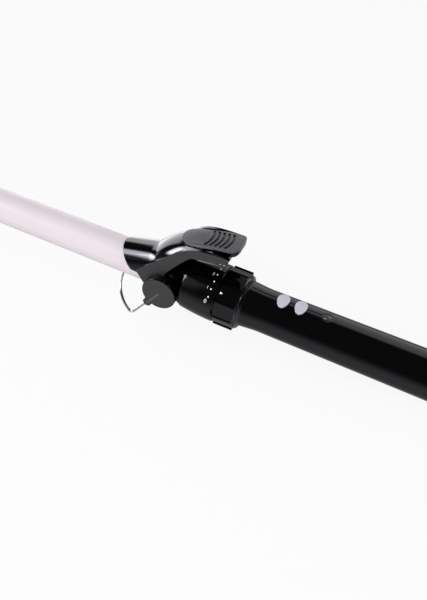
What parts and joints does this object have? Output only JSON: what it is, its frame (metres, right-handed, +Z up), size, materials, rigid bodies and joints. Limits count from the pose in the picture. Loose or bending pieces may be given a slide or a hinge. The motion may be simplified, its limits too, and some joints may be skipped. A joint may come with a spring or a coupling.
{
  "type": "curling iron",
  "caption": "Hair curling iron with a coated barrel, sprung clip on a thumb lever, wire rest, turning temperature dial, push buttons and a cord swivel.",
  "frame": {"origin": "on the ground, under the middle of the whole length, with the barrel's axis level above it", "axes": "+X along the barrel and handle towards the cord, +Z up through the thumb pad, +Y to the left of someone looking from the tip to the cord"},
  "size_m": [0.3534, 0.035, 0.0659],
  "materials": {
    "pink_coating": "smooth satin-gloss baked coating",
    "gloss_black": "high-gloss moulded plastic",
    "satin_black": "fine satin moulded plastic",
    "soft_pad": "soft-touch moulding with cut grooves",
    "pearl_button": "pearl painted plastic",
    "smoked_lens": "smoked clear plastic",
    "chrome_wire": "polished",
    "steel": "plain drawn steel",
    "brass_contact": "plain",
    "heater_aluminium": "extruded",
    "ceramic": "fired ceramic, matt",
    "mica": "pressed mica",
    "film": "amber insulating film",
    "board": "circuit board",
    "chip_black": "moulded epoxy",
    "capacitor_yellow": "moulded case",
    "fuse_ceramic": "ceramic tube",
    "lead_sleeve": "silicone insulation",
    "led_white": "clear epoxy"
  },
  "bodies": {
    "handle": {"barrel_tube": "pink_coating", "cool_tip": "gloss_black", "tip_insulator": "ceramic", "heater_carrier_upper": "heater_aluminium", "heater_carrier_lower": "heater_aluminium", "heater_bar": "ceramic", "heater_film": "film", "carrier_springs": "steel", "thermistor": "ceramic", "thermal_cutout": "steel", "heater_leads": "lead_sleeve", "heat_sleeve": "mica", "mica_washer": "mica", "lever_springs": "steel", "hinge_pins": "steel", "nose_body": "gloss_black", "dial_track": "board", "dial_washer": "steel", "dial_stop": "steel", "shell_near": "gloss_black", "shell_far": "gloss_black", "shell_screws": "steel", "main_board": "board", "board_screws": "steel", "triac": "chip_black", "capacitor": "capacitor_yellow", "fuse": "fuse_ceramic", "controller": "chip_black", "tact_switches": "steel", "indicator_led": "led_white", "indicator_window": "smoked_lens", "mains_leads": "lead_sleeve", "brush_contacts": "brass_contact"},
    "clip_lever": {"lever": "gloss_black", "clip_plate": "pink_coating", "clip_rivets": "steel", "thumb_pad": "soft_pad"},
    "rest": {"stand_cap_near": "satin_black", "stand_cap_far": "satin_black", "stand_wire": "chrome_wire"},
    "dial": {"dial_ring": "gloss_black", "dial_contact": "brass_contact"},
    "front_button": {"button_front": "pearl_button"},
    "rear_button": {"button_rear": "pearl_button"},
    "swivel": {"cord_swivel": "satin_black", "slip_rings": "brass_contact"}
  },
  "joints": [
    {"name": "lever_hinge", "type": "hinge", "parent": "handle", "child": "clip_lever", "pos_m": [-0.00905, 0, 0.02389], "axis": [0, 1, 0], "range_deg": [0, 20], "stiffness_Nm_per_rad": 0.5, "springref_deg": -28.65},
    {"name": "rest_hinge", "type": "hinge", "parent": "handle", "child": "rest", "pos_m": [-0.00905, 0, 0.02389], "axis": [0, -1, 0], "range_deg": [0, 40]},
    {"name": "dial_turn", "type": "hinge", "parent": "handle", "child": "dial", "pos_m": [0.02895, 0, 0.02589], "axis": [1, 0, 0], "range_deg": [-62, 15.5]},
    {"name": "front_button_press", "type": "slide", "parent": "handle", "child": "front_button", "axis": [0, 0, -1], "range_m": [0, 0.0005], "stiffness_N_per_m": 400, "springref_m": -0.001},
    {"name": "rear_button_press", "type": "slide", "parent": "handle", "child": "rear_button", "axis": [0, 0, -1], "range_m": [0, 0.0005], "stiffness_N_per_m": 400, "springref_m": -0.001},
    {"name": "cord_swivel_turn", "type": "hinge", "parent": "handle", "child": "swivel", "pos_m": [0.16095, 0, 0.02589], "axis": [1, 0, 0], "continuous": true}
  ]
}
